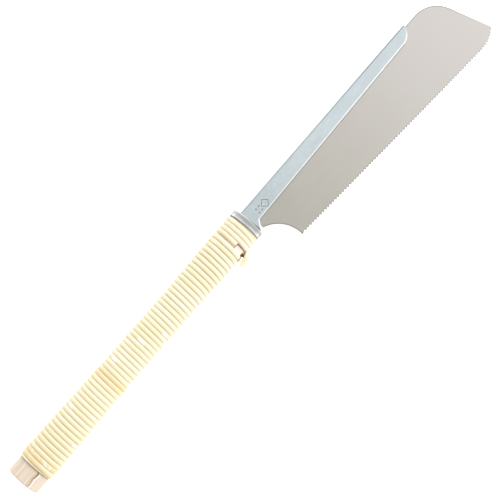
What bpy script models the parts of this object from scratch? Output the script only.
"""Pull saw with a replaceable blade in a folded steel back and a cane-bound handle.

The saw lies on its side. +X runs along the handle to the toe, the teeth point to -Y and
+Z is up. Shapes are worked out from the centre of the ferrule's front face, in the
blade's plane, and one empty then sets the whole saw on the ground over the origin.
"""

import math

import bmesh
import bpy
from mathutils import Vector

# ---- Driving dimensions, in metres. X is measured from the ferrule's front face, ----
# ---- and heights across the blade from the handle's axis.                       ----

FIT = 0.0003                 # clearance between pieces that touch

# Handle core: oval, waisted, widest near the butt
HANDLE_LENGTH = 0.2792       # ferrule front to butt
BARE_BUTT = 0.0150           # wood left uncovered at the butt
BUTT_WIDTH = 0.0293
BUTT_THICKNESS = 0.0232
WAIST_WIDTH = 0.0265
WAIST_THICKNESS = 0.0204
FRONT_WIDTH = 0.0286
FRONT_THICKNESS = 0.0214
WAIST_FRONT = 0.105          # the waist's two ends, behind the ferrule's front
WAIST_BACK = 0.150
FRONT_STRAIGHT = 0.020       # stretches of full width behind the ferrule and at the butt
BUTT_STRAIGHT = 0.034
OVAL_POWER = 2.2             # 2 is an ellipse, more is squarer
CORE_SIDES = 16              # sides of the core, and of each turn of cane
CORE_STATIONS = 18           # lengths that the core is drawn in
BUTT_CHAMFER = 0.0008

# Ferrule: a drawn steel cup with a slot in its face
FERRULE_LENGTH = 0.0061
FERRULE_WALL = 0.0008
FERRULE_EDGE = 0.0008
FERRULE_EDGE_MIDDLE = 0.3    # share of the edge at which its facets meet

# Cane binding
CANE_THICKNESS = 0.00135
CANE_GAP = 0.00028           # between one turn and the next
NEAR_PITCH = 0.0043          # the main winding's, before its turns are made to fill its length
FRONT_TURNS = 4
FRONT_PITCH = 0.00425
FRONT_START = 0.0014         # width of the front winding's tapered start on the top face
BINDING_GAP = 0.00042        # between the two windings, beyond the gap between turns
NARROWEST_STRIP = 0.0008     # a taper stops here
CUT_END_DROP = 0.0036        # the front winding's cut end, below the handle's axis
TAIL_OUT = 0.0096            # loose tail: length of the part that lies outside
TAIL_WIDTH = 0.0042
TAIL_CLEAR = 0.0010          # between the tail and the binding
TAIL_UNDER = 0.014           # length that lies under the main turns
TAIL_SINK = 0.0009           # depth of the tail's groove, beyond the strip's thickness
TAIL_TWIST = 0.42            # share of the outside length in which the tail turns flat

# Folded back
SHEET = 0.0010
BACK_LENGTH = 0.2214
BACK_TOP_ROOT = 0.00989      # top edge above the axis, at the root and at the nose
BACK_TOP_NOSE = 0.01066
BACK_SHOULDER = 0.0006       # root's shoulder, clear of the ferrule's face
FLARE_DEPTH = 0.01313        # root's point, below the axis
FLARE_POINT = 0.0018
KNEE = (0.0078, 0.00576)     # where the flare meets the lower edge
NOSE_LENGTH = 0.0134
NOSE_DEPTH = 0.00088         # lower edge at the start of the nose, below the axis
NOSE_RADIUS = 0.014
FOLD_ROUND = 0.0012

# Tang
TANG_LENGTH = 0.070
TANG_HALF_WIDTH = 0.0060
TANG_END_HALF_WIDTH = 0.0042
SPACER_START = 0.006         # behind the ferrule's front
RIVET_RADIUS = 0.0016
RIVETS = (0.018, 0.052)      # behind the ferrule's front

# Blade
BLADE_THICKNESS = 0.0005
BLADE_TOP_ROOT = 0.0084      # top edge above the axis, at the pin and at the toe
BLADE_TOP_TOE = 0.00856
BLADE_REACH = 0.2742         # ferrule's front to the toe's tip
TOE_LEAN = 0.340             # the toe's edge runs forward by this for each unit down
TOE_CORNER_RADIUS = 0.0275
TOE_TIP_DEPTH = 0.0476       # end of the toe's edge, below the axis
TOE_TOOTH_RADIUS = 0.033
TOE_ROUND_LENGTH = 0.0215    # length of the toothed curve, along the saw
TOE_DEPTH = 0.0564           # where that curve meets the long edge, below the axis
TOOTH_LINE_HEEL = (0.0264, 0.0418)
TOOTH_LINE_CROWN = 0.00035
HEEL_CORNER_X = 0.0224
HEEL_MIDDLE = (0.0161, 0.0207)
HEEL_TIP = (0.0048, 0.0126)
TOOTH_PITCH = 0.0031
TOOTH_DEPTH = 0.0016
TOOTH_LEAN = 0.32            # a tip's place within its pitch, from the heel side

# Hook that holds the blade
PIN_X = 0.0140
PIN_DROP = 0.0010            # below the axis
PIN_RADIUS = 0.0015
HOOK_MOUTH = 110.0           # direction of the hook's mouth, in degrees from +X

BEYOND = 0.02                # how far a cutter reaches past what it cuts

COLLECTION = "pull_saw"


# ---- Derived sizes ----

CANE_START = FERRULE_LENGTH + FIT
CANE_END = HANDLE_LENGTH - BARE_BUTT
FRONT_STRIP = FRONT_PITCH - CANE_GAP
FRONT_CENTRE = CANE_START + FRONT_START - FRONT_STRIP / 2
FRONT_REACH = FRONT_CENTRE + FRONT_PITCH * FRONT_TURNS
MAIN_FRONT = FRONT_REACH + FRONT_STRIP / 2 + CANE_GAP + BINDING_GAP
MAIN_TURNS = math.floor((CANE_END - MAIN_FRONT) / NEAR_PITCH) + 0.5
MAIN_PITCH = (CANE_END - MAIN_FRONT) / MAIN_TURNS
MAIN_STRIP = MAIN_PITCH - CANE_GAP
# The gap's two sides, where the tail comes out, and the tail's buried end
GAP_FRONT = FRONT_CENTRE + FRONT_PITCH * (FRONT_TURNS - 0.75) + FRONT_STRIP / 2
TAIL_ROOT = MAIN_FRONT + TAIL_UNDER
# The tail doubles back from its groove to just clear of the binding
TAIL_BEND = (TAIL_SINK + FIT + 2 * CANE_THICKNESS + TAIL_CLEAR) / 2
SLOT = BLADE_THICKNESS + 2 * FIT
BACK_THICKNESS = 2 * SHEET + SLOT
NOSE_START = (BACK_LENGTH - NOSE_LENGTH, NOSE_DEPTH)
TOE_CORNER_X = BLADE_REACH - TOE_LEAN * (TOE_TIP_DEPTH + BLADE_TOP_TOE)
TOOTH_LINE_TOE = (BLADE_REACH - TOE_ROUND_LENGTH, TOE_DEPTH)
PIN = Vector((PIN_X, -PIN_DROP))
HOOK_RADIUS = PIN_RADIUS + FIT
HEEL_SWING = BLADE_TOP_ROOT + PIN_DROP

WOOD = (0.88, 0.76, 0.62, 1.0)
CANE = (0.90, 0.82, 0.58, 1.0)
BLADE_STEEL = (0.66, 0.64, 0.60, 1.0)
BACK_STEEL = (0.60, 0.67, 0.70, 1.0)
FERRULE_STEEL = (0.62, 0.63, 0.64, 1.0)


# ---- Scene ----

for old in list(bpy.data.objects):
    bpy.data.objects.remove(old, do_unlink=True)

parts = bpy.data.collections.new(COLLECTION)
bpy.context.scene.collection.children.link(parts)
cutters = bpy.data.collections.new(COLLECTION + "_cutters")
bpy.context.scene.collection.children.link(cutters)

saw = bpy.data.objects.new("saw", None)
parts.objects.link(saw)
blade_axis = bpy.data.objects.new("blade_axis", None)
blade_axis.location = (PIN.x, PIN.y, 0)
blade_axis.parent = saw
parts.objects.link(blade_axis)


def material(name, colour, roughness, metallic):
    """One Principled material."""
    made = bpy.data.materials.new(name)
    made.use_nodes = True
    shader = made.node_tree.nodes["Principled BSDF"]
    shader.inputs["Base Color"].default_value = colour
    shader.inputs["Roughness"].default_value = roughness
    shader.inputs["Metallic"].default_value = metallic
    return made


wood = material("handle_wood", WOOD, 0.7, 0.0)
cane = material("cane", CANE, 0.45, 0.0)
blade_steel = material("blade_steel", BLADE_STEEL, 0.35, 1.0)
back_steel = material("back_steel", BACK_STEEL, 0.4, 1.0)
ferrule_steel = material("ferrule_steel", FERRULE_STEEL, 0.35, 1.0)
plain_steel = material("plain_steel", (0.5, 0.5, 0.5, 1.0), 0.4, 1.0)


# ---- Tools ----

def add_piece(name, mesh, finish, parent=saw):
    """A named piece of the saw. A piece under the blade's axis keeps its place there."""
    piece = bpy.data.objects.new(name, mesh)
    parts.objects.link(piece)
    piece.parent = parent
    if parent is blade_axis:
        mesh.transform(parent.matrix_basis.inverted())
    mesh.materials.clear()
    mesh.materials.append(finish)
    return piece


def cut(piece, mesh, name):
    """Takes a mesh's volume out of a piece."""
    cutter = bpy.data.objects.new(name, mesh)
    cutters.objects.link(cutter)
    cutter.parent = piece.parent
    cutter.hide_render = True
    cutter.display_type = "WIRE"
    boolean = piece.modifiers.new(name, "BOOLEAN")
    boolean.operation = "DIFFERENCE"
    boolean.solver = "EXACT"
    boolean.object = cutter


def plate(name, outline, thickness):
    """A flat plate about z = 0, from a closed outline of (x, y) points."""
    curve = bpy.data.curves.new(name, "CURVE")
    curve.dimensions = "2D"
    curve.fill_mode = "BOTH"
    curve.extrude = thickness / 2
    spline = curve.splines.new("POLY")
    spline.points.add(len(outline) - 1)
    for point, (x, y) in zip(spline.points, outline):
        point.co = (x, y, 0, 1)
    spline.use_cyclic_u = True
    drawn = bpy.data.objects.new(name, curve)
    cutters.objects.link(drawn)
    bpy.context.view_layer.update()
    evaluated = drawn.evaluated_get(bpy.context.evaluated_depsgraph_get())
    mesh = bpy.data.meshes.new_from_object(evaluated)
    bpy.data.objects.remove(drawn)
    shape = bmesh.new()
    shape.from_mesh(mesh)
    bmesh.ops.remove_doubles(shape, verts=shape.verts, dist=1e-6)
    bmesh.ops.recalc_face_normals(shape, faces=shape.faces)
    shape.to_mesh(mesh)
    shape.free()
    mesh.name = name
    return mesh


def arc(centre, radius, start, end, steps):
    """Points from angle start to angle end, in degrees, both ends included."""
    points = []
    for step in range(steps + 1):
        angle = math.radians(start + (end - start) * step / steps)
        points.append((centre[0] + radius * math.cos(angle),
                       centre[1] + radius * math.sin(angle)))
    return points


def arc_through(first, middle, last, steps):
    """Points on the circle through three points, first and last included."""
    (ax, ay), (bx, by), (cx, cy) = first, middle, last
    d = 2 * (ax * (by - cy) + bx * (cy - ay) + cx * (ay - by))
    a2 = ax * ax + ay * ay
    b2 = bx * bx + by * by
    c2 = cx * cx + cy * cy
    centre = ((a2 * (by - cy) + b2 * (cy - ay) + c2 * (ay - by)) / d,
              (a2 * (cx - bx) + b2 * (ax - cx) + c2 * (bx - ax)) / d)
    radius = math.dist(centre, first)
    start = math.degrees(math.atan2(ay - centre[1], ax - centre[0]))
    turn = math.degrees(math.atan2(cy - centre[1], cx - centre[0])) - start
    turn = (turn + 180) % 360 - 180
    return arc(centre, radius, start, start + turn, steps)


def down(point):
    """A point given as (forward, below the axis), as (x, y)."""
    return (point[0], -point[1])


def rod(name, radius, low, high, x, y, sides=16):
    """An upright cylinder between two heights."""
    mesh = bpy.data.meshes.new(name)
    shape = bmesh.new()
    bmesh.ops.create_cone(shape, cap_ends=True, segments=sides, radius1=radius,
                          radius2=radius, depth=high - low)
    bmesh.ops.translate(shape, verts=shape.verts, vec=(x, y, (low + high) / 2))
    shape.to_mesh(mesh)
    shape.free()
    mesh.shade_smooth()
    mesh.set_sharp_from_angle(angle=math.radians(40))
    return mesh


def block(name, low, high):
    """A box between two corners."""
    mesh = bpy.data.meshes.new(name)
    shape = bmesh.new()
    bmesh.ops.create_cube(shape, size=1.0)
    size = Vector(high) - Vector(low)
    bmesh.ops.scale(shape, verts=shape.verts, vec=size)
    bmesh.ops.translate(shape, verts=shape.verts, vec=(Vector(high) + Vector(low)) / 2)
    shape.to_mesh(mesh)
    shape.free()
    return mesh


def loft(name, rings):
    """A closed body through rings of points that all have the same count."""
    shape = bmesh.new()
    made = []
    for ring in rings:
        made.append([shape.verts.new(point) for point in ring])
    count = len(rings[0])
    for near, far in zip(made, made[1:]):
        for i in range(count):
            j = (i + 1) % count
            shape.faces.new((near[i], near[j], far[j], far[i]))
    shape.faces.new(made[0])
    shape.faces.new(made[-1])
    bmesh.ops.recalc_face_normals(shape, faces=shape.faces)
    mesh = bpy.data.meshes.new(name)
    shape.to_mesh(mesh)
    shape.free()
    return mesh


def ease(value):
    """0 to 1 with level ends."""
    value = min(1.0, max(0.0, value))
    return value * value * (3 - 2 * value)


def core_half_sizes(back):
    """Half width and half thickness of the wooden core, so far behind the front."""
    swell = ease((back - WAIST_BACK) / (HANDLE_LENGTH - BUTT_STRAIGHT - WAIST_BACK))
    flare = ease((WAIST_FRONT - back) / (WAIST_FRONT - FRONT_STRAIGHT))
    width = WAIST_WIDTH + (BUTT_WIDTH - WAIST_WIDTH) * swell + (FRONT_WIDTH - WAIST_WIDTH) * flare
    thickness = (WAIST_THICKNESS + (BUTT_THICKNESS - WAIST_THICKNESS) * swell
                 + (FRONT_THICKNESS - WAIST_THICKNESS) * flare)
    return width / 2, thickness / 2


def oval_point(angle, half_width, half_thickness):
    """A point (y, z) of the handle's oval. 0 is the spine side, a quarter turn is up."""
    c, s = math.cos(angle), math.sin(angle)
    y = math.copysign(abs(c) ** (2 / OVAL_POWER), c) * half_width
    z = math.copysign(abs(s) ** (2 / OVAL_POWER), s) * half_thickness
    return y, z


def oval_ring(back, half_width, half_thickness, sides=CORE_SIDES):
    """A ring of the oval, in the plane at x = -back."""
    return [(-back, *oval_point(2 * math.pi * i / sides, half_width, half_thickness))
            for i in range(sides)]


# ---- Handle: two halves split in the blade's plane, with a pocket for the tang ----

def core_mesh(name):
    """The whole core, from inside the ferrule to the chamfered butt."""
    front = FERRULE_WALL + FIT
    stops = [front + (HANDLE_LENGTH - BUTT_CHAMFER - front) * i / CORE_STATIONS
             for i in range(CORE_STATIONS + 1)]
    rings = [oval_ring(back, *core_half_sizes(back)) for back in stops]
    half_width, half_thickness = core_half_sizes(HANDLE_LENGTH)
    rings.append(oval_ring(HANDLE_LENGTH, half_width - BUTT_CHAMFER,
                           half_thickness - BUTT_CHAMFER))
    return loft(name, rings)


def tang_outline(margin=0.0):
    """The tang's outline, behind the ferrule's face, grown by a margin."""
    half = TANG_HALF_WIDTH + margin
    end_half = TANG_END_HALF_WIDTH + margin
    end = -(TANG_LENGTH + margin)
    return [(BACK_SHOULDER, half), (end, end_half), (end, -end_half), (BACK_SHOULDER, -half)]


tail_bed = core_half_sizes(MAIN_FRONT)[0] - TAIL_SINK - CANE_THICKNESS - FIT
for side, sign in (("upper", 1), ("lower", -1)):
    half = add_piece("handle_" + side + "_half", core_mesh("handle_" + side), wood)
    away = sorted((sign * FIT / 2, -sign * (BUTT_THICKNESS / 2 + BEYOND)))
    cut(half, block(side + "_other_half",
                    (-HANDLE_LENGTH - BEYOND, -BUTT_WIDTH / 2 - BEYOND, away[0]),
                    (BEYOND, BUTT_WIDTH / 2 + BEYOND, away[1])), side + "_split")
    cut(half, plate(side + "_pocket", tang_outline(FIT), BACK_THICKNESS + 2 * FIT),
        side + "_tang_pocket")
    tail_groove = block(side + "_groove", (-TAIL_ROOT - FIT, -tail_bed - BEYOND, -TAIL_WIDTH / 2 - FIT),
                        (-GAP_FRONT, -tail_bed, TAIL_WIDTH / 2 + FIT))
    cut(half, tail_groove, side + "_tail_groove")


# ---- Ferrule: a cup whose face is slotted for the tang ----

ferrule_half_width = FRONT_WIDTH / 2 + FIT + FERRULE_WALL
ferrule_half_thickness = FRONT_THICKNESS / 2 + FIT + FERRULE_WALL
ferrule_sides = 2 * CORE_SIDES
edge_middle = FERRULE_EDGE_MIDDLE * FERRULE_EDGE
# The inside is drawn larger than the core by the clearance, with the same sides
outer_rings = [
    oval_ring(0.0, ferrule_half_width - FERRULE_EDGE, ferrule_half_thickness - FERRULE_EDGE,
              ferrule_sides),
    oval_ring(edge_middle, ferrule_half_width - edge_middle,
              ferrule_half_thickness - edge_middle, ferrule_sides),
    oval_ring(FERRULE_EDGE, ferrule_half_width, ferrule_half_thickness, ferrule_sides),
    oval_ring(FERRULE_LENGTH, ferrule_half_width, ferrule_half_thickness, ferrule_sides),
]
ferrule = add_piece("ferrule", loft("ferrule", outer_rings), ferrule_steel)
bore_half = (FRONT_WIDTH / 2 + FIT, FRONT_THICKNESS / 2 + FIT)
bore = loft("ferrule_bore", [oval_ring(FERRULE_WALL, *bore_half, ferrule_sides),
                             oval_ring(FERRULE_LENGTH + BEYOND, *bore_half, ferrule_sides)])
cut(ferrule, bore, "ferrule_inside")
cut(ferrule, block("ferrule_slot", (-BEYOND, -TANG_HALF_WIDTH - FIT, -BACK_THICKNESS / 2 - FIT),
                   (BEYOND, TANG_HALF_WIDTH + FIT, BACK_THICKNESS / 2 + FIT)), "ferrule_slot")
ferrule.data.shade_smooth()
ferrule.data.set_sharp_from_angle(angle=math.radians(35))


# ---- Back: one sheet folded over the blade, with two leaves that run into the handle ----

def back_outline():
    """The folded back with its tang, seen from the side."""
    nose_end = (BACK_LENGTH, NOSE_START[1] - NOSE_RADIUS
                + math.sqrt(NOSE_RADIUS ** 2 - (BACK_LENGTH - NOSE_START[0]) ** 2))
    centre = (NOSE_START[0], -NOSE_START[1] + NOSE_RADIUS)
    end_angle = math.degrees(math.atan2(-nose_end[1] - centre[1], nose_end[0] - centre[0]))
    points = [(BACK_SHOULDER, BACK_TOP_ROOT), (BACK_LENGTH, BACK_TOP_NOSE)]
    points += reversed(arc(centre, NOSE_RADIUS, -90, end_angle, 8))
    points += [down(KNEE), down((FLARE_POINT, FLARE_DEPTH)),
               down((BACK_SHOULDER, FLARE_DEPTH - 0.4 * FLARE_POINT))]
    tang = tang_outline()
    points += [tang[3], tang[2], tang[1], tang[0]]
    return points


def round_fold(mesh):
    """Rounds the two long edges at the top, and breaks the other edges a little."""
    shape = bmesh.new()
    shape.from_mesh(mesh)
    fold = [edge for edge in shape.edges
            if all(v.co.y > BACK_TOP_ROOT - 0.0001 for v in edge.verts)
            and edge.calc_length() > BACK_LENGTH / 2 and len(edge.link_faces) == 2
            and edge.calc_face_angle(0) > 1]
    bmesh.ops.bevel(shape, geom=fold, offset=FOLD_ROUND, segments=3, profile=0.5,
                    affect="EDGES", clamp_overlap=True)
    shape.to_mesh(mesh)
    shape.free()


back_mesh = plate("back_channel", back_outline(), BACK_THICKNESS)
round_fold(back_mesh)
back = add_piece("back_channel", back_mesh, back_steel)
slot_top_root = BACK_TOP_ROOT - SHEET
slot_top_nose = BACK_TOP_NOSE - SHEET
cut(back, plate("blade_slot", [
    (-TANG_LENGTH - BEYOND, slot_top_root), (BACK_SHOULDER, slot_top_root),
    (BACK_LENGTH + BEYOND, slot_top_nose), (BACK_LENGTH + BEYOND, -FLARE_DEPTH - BEYOND),
    (-TANG_LENGTH - BEYOND, -FLARE_DEPTH - BEYOND)], SLOT), "blade_slot")


# ---- Tang: a spacer bar between the leaves, and two rivets through all three ----

spacer_thickness = SLOT - 2 * FIT
tang_full = tang_outline(-FIT)
taper = (TANG_HALF_WIDTH - TANG_END_HALF_WIDTH) / TANG_LENGTH
spacer_half = TANG_HALF_WIDTH - FIT - taper * SPACER_START
spacer = add_piece("tang_spacer", plate("tang_spacer", [
    (-SPACER_START, spacer_half), tang_full[1], tang_full[2], (-SPACER_START, -spacer_half)],
    spacer_thickness), plain_steel)
for label, place in zip(("front", "rear"), RIVETS):
    for piece in (back, spacer):
        hole = rod("rivet_hole", RIVET_RADIUS + FIT, -BACK_THICKNESS, BACK_THICKNESS,
                   -place, 0.0)
        cut(piece, hole, piece.name + "_" + label + "_rivet_hole")
    reach = BACK_THICKNESS / 2
    add_piece("tang_rivet_" + label, rod("rivet", RIVET_RADIUS, -reach, reach, -place, 0.0),
              plain_steel)


# ---- Pin: welded between the cheeks, where the blade hooks on ----

add_piece("hook_pin", rod("hook_pin", PIN_RADIUS, -SLOT / 2 + FIT, SLOT / 2 - FIT, PIN.x, PIN.y),
          plain_steel)


# ---- Blade: a toothed plate with a hook at the heel; its origin is on the pin ----

def tooth_line():
    """The line of tooth tips, from the heel to the toe's tip."""
    first = down(TOOTH_LINE_HEEL)
    last = down(TOOTH_LINE_TOE)
    middle = ((first[0] + last[0]) / 2, (first[1] + last[1]) / 2 - TOOTH_LINE_CROWN)
    straight = arc_through(first, middle, last, 60)
    slope = math.degrees(math.atan2(last[1] - straight[-2][1], last[0] - straight[-2][0]))
    centre = (last[0] - TOE_TOOTH_RADIUS * math.sin(math.radians(slope)),
              last[1] + TOE_TOOTH_RADIUS * math.cos(math.radians(slope)))
    end = math.degrees(math.acos((BLADE_REACH - centre[0]) / TOE_TOOTH_RADIUS))
    return straight + arc(centre, TOE_TOOTH_RADIUS, slope - 90, -end, 24)[1:]


def along(line, distance):
    """The point so far along a line, and the direction of the line there."""
    for near, far in zip(line, line[1:]):
        step = math.dist(near, far)
        if distance <= step or far is line[-1]:
            share = distance / step
            way = Vector(far) - Vector(near)
            return Vector(near) + way * share, way.normalized()
        distance -= step


def teeth(line):
    """Teeth along the line: each is a gullet at the heel side and a tip."""
    length = sum(math.dist(a, b) for a, b in zip(line, line[1:]))
    count = round(length / TOOTH_PITCH)
    pitch = length / count
    points = []
    for tooth in range(count):
        place, way = along(line, tooth * pitch)
        inward = Vector((-way.y, way.x))
        points.append(tuple(place + inward * TOOTH_DEPTH))
        place, way = along(line, (tooth + TOOTH_LEAN) * pitch)
        points.append(tuple(place))
    return points


def blade_outline():
    """Counterclockwise from the heel's tip: heel, teeth, toe, top edge, hook."""
    line = tooth_line()
    points = arc_through(down(HEEL_TIP), down(HEEL_MIDDLE),
                         (HEEL_CORNER_X, line[0][1]), 12)
    points += teeth(line)
    tip = line[-1]
    points.append(tip)
    corner = (TOE_CORNER_X, BLADE_TOP_TOE)
    lean = math.degrees(math.atan(TOE_LEAN))
    top_slope = math.degrees(math.atan((BLADE_TOP_TOE - BLADE_TOP_ROOT)
                                       / (TOE_CORNER_X - PIN_X)))
    turn = 90 - lean - top_slope
    reach = TOE_CORNER_RADIUS * math.tan(math.radians(turn / 2))
    start = (corner[0] + reach * math.sin(math.radians(lean)),
             corner[1] - reach * math.cos(math.radians(lean)))
    centre = (start[0] - TOE_CORNER_RADIUS * math.cos(math.radians(lean)),
              start[1] - TOE_CORNER_RADIUS * math.sin(math.radians(lean)))
    points += arc(centre, TOE_CORNER_RADIUS, lean, lean + turn, 12)
    mouth = math.radians(HOOK_MOUTH)
    half_mouth = math.degrees(math.asin(HOOK_RADIUS / HEEL_SWING))
    points += arc(PIN, HEEL_SWING, 90, HOOK_MOUTH - half_mouth, 3)
    points += arc(PIN, HOOK_RADIUS, HOOK_MOUTH - 90, HOOK_MOUTH - 270, 12)
    points += arc(PIN, HEEL_SWING, HOOK_MOUTH + half_mouth, 180, 6)
    return points


add_piece("saw_blade", plate("saw_blade", blade_outline(), BLADE_THICKNESS), blade_steel,
          blade_axis)


# ---- Cane binding: flat strips wound round the core ----

def strip_ring(angle, front_edge, back_edge):
    """Four corners of the strip's section at an angle round the handle."""
    corners = []
    for back, lift in ((front_edge, FIT), (back_edge, FIT),
                       (back_edge, FIT + CANE_THICKNESS), (front_edge, FIT + CANE_THICKNESS)):
        half_width, half_thickness = core_half_sizes(back)
        y, z = oval_point(angle, half_width + lift, half_thickness + lift)
        corners.append((-back, y, z))
    return corners


def winding(name, start, end, centre_at, width, low_limit, high_limit):
    """A strip wound from angle start to angle end, tapered where a limit stops it.

    The limits are the places, behind the front, that the strip's edges may not pass.
    """
    step = 2 * math.pi / CORE_SIDES
    first = math.ceil(start / step - 1e-6)
    last = math.floor(end / step + 1e-6)
    angles = [i * step for i in range(first, last + 1)]
    if angles[0] - start > 0.1 * step:
        angles.insert(0, start)
    if end - angles[-1] > 0.1 * step:
        angles.append(end)
    rings = []
    for angle in angles:
        centre = centre_at(angle)
        front_edge = max(centre - width / 2, low_limit)
        back_edge = min(centre + width / 2, high_limit)
        if back_edge - front_edge > NARROWEST_STRIP:
            rings.append(strip_ring(angle, front_edge, back_edge))
    add_piece(name, loft(name, rings), cane)


TURN = 2 * math.pi
TOP = TURN / 4

# Front winding: starts tapered against the ferrule, ends in a square cut on the top face
front_half_width = core_half_sizes(FRONT_REACH)[0]
cut_angle = TURN * FRONT_TURNS + math.acos(
    -(CUT_END_DROP / front_half_width) ** (OVAL_POWER / 2))
winding("cane_front_winding", TOP - TURN, cut_angle,
        lambda angle: FRONT_CENTRE + FRONT_PITCH * (angle - TOP) / TURN,
        FRONT_STRIP, CANE_START, FRONT_REACH + FRONT_PITCH)

# Main winding: from beside the gap to the bare butt, tapered at the butt
MAIN_START = -0.44 * TURN
winding("cane_main_winding", MAIN_START, TOP + TURN * MAIN_TURNS,
        lambda angle: MAIN_FRONT + MAIN_STRIP / 2 + MAIN_PITCH * (angle - TOP) / TURN,
        MAIN_STRIP, 0.0, CANE_END)


def tail_path():
    """Stations of the loose end: centre, direction of travel, and twist from on-edge.

    It runs under the main turns in its groove, comes up in the gap, doubles back outside
    the binding and turns flat before its cut end.
    """
    bed_y = -(tail_bed + FIT + CANE_THICKNESS / 2)
    turn_x = -GAP_FRONT - FIT - CANE_THICKNESS / 2 - TAIL_BEND
    stations = [(Vector((-TAIL_ROOT, bed_y)), 0.0, 0.0)]
    for i in range(9):
        angle = math.pi * i / 8
        place = Vector((turn_x + TAIL_BEND * math.sin(angle),
                        bed_y - TAIL_BEND * (1 - math.cos(angle))))
        stations.append((place, -angle, 0.0))
    outside = stations[-1][0]
    tab_y = -(core_half_sizes(MAIN_FRONT)[0] + 2 * FIT + CANE_THICKNESS + TAIL_CLEAR
              + TAIL_WIDTH / 2)
    cut_x = turn_x + TAIL_BEND - TAIL_OUT
    for i in range(1, 8):
        share = i / 7
        lift = ease(share / TAIL_TWIST)
        place = Vector((outside.x + (cut_x - outside.x) * share,
                        outside.y + (tab_y - outside.y) * lift))
        stations.append((place, -math.pi, lift))
    return stations


def tail_mesh():
    """The strip's section carried along the tail's path."""
    rings = []
    for place, heading, twist in tail_path():
        side = Vector((-math.sin(heading), math.cos(heading), 0))
        lean = twist * math.pi / 2
        width = Vector((0, 0, 1)) * math.cos(lean) + side * math.sin(lean)
        depth = side * math.cos(lean) - Vector((0, 0, 1)) * math.sin(lean)
        width *= TAIL_WIDTH / 2
        depth *= CANE_THICKNESS / 2
        centre = Vector((place.x, place.y, 0))
        rings.append([centre - width - depth, centre + width - depth,
                      centre + width + depth, centre - width + depth])
    return loft("cane_tail", rings)


add_piece("cane_tail", tail_mesh(), cane)


# ---- Set the saw on the ground, centred over the origin ----

bpy.context.view_layer.update()
graph = bpy.context.evaluated_depsgraph_get()
corners = []
for piece in parts.objects:
    if piece.type == "MESH":
        shown = piece.evaluated_get(graph)
        corners += [shown.matrix_world @ v.co for v in shown.data.vertices]
low = Vector([min(c[i] for c in corners) for i in range(3)])
high = Vector([max(c[i] for c in corners) for i in range(3)])
saw.location = (-(low.x + high.x) / 2, -(low.y + high.y) / 2, -low.z)
bpy.context.view_layer.update()
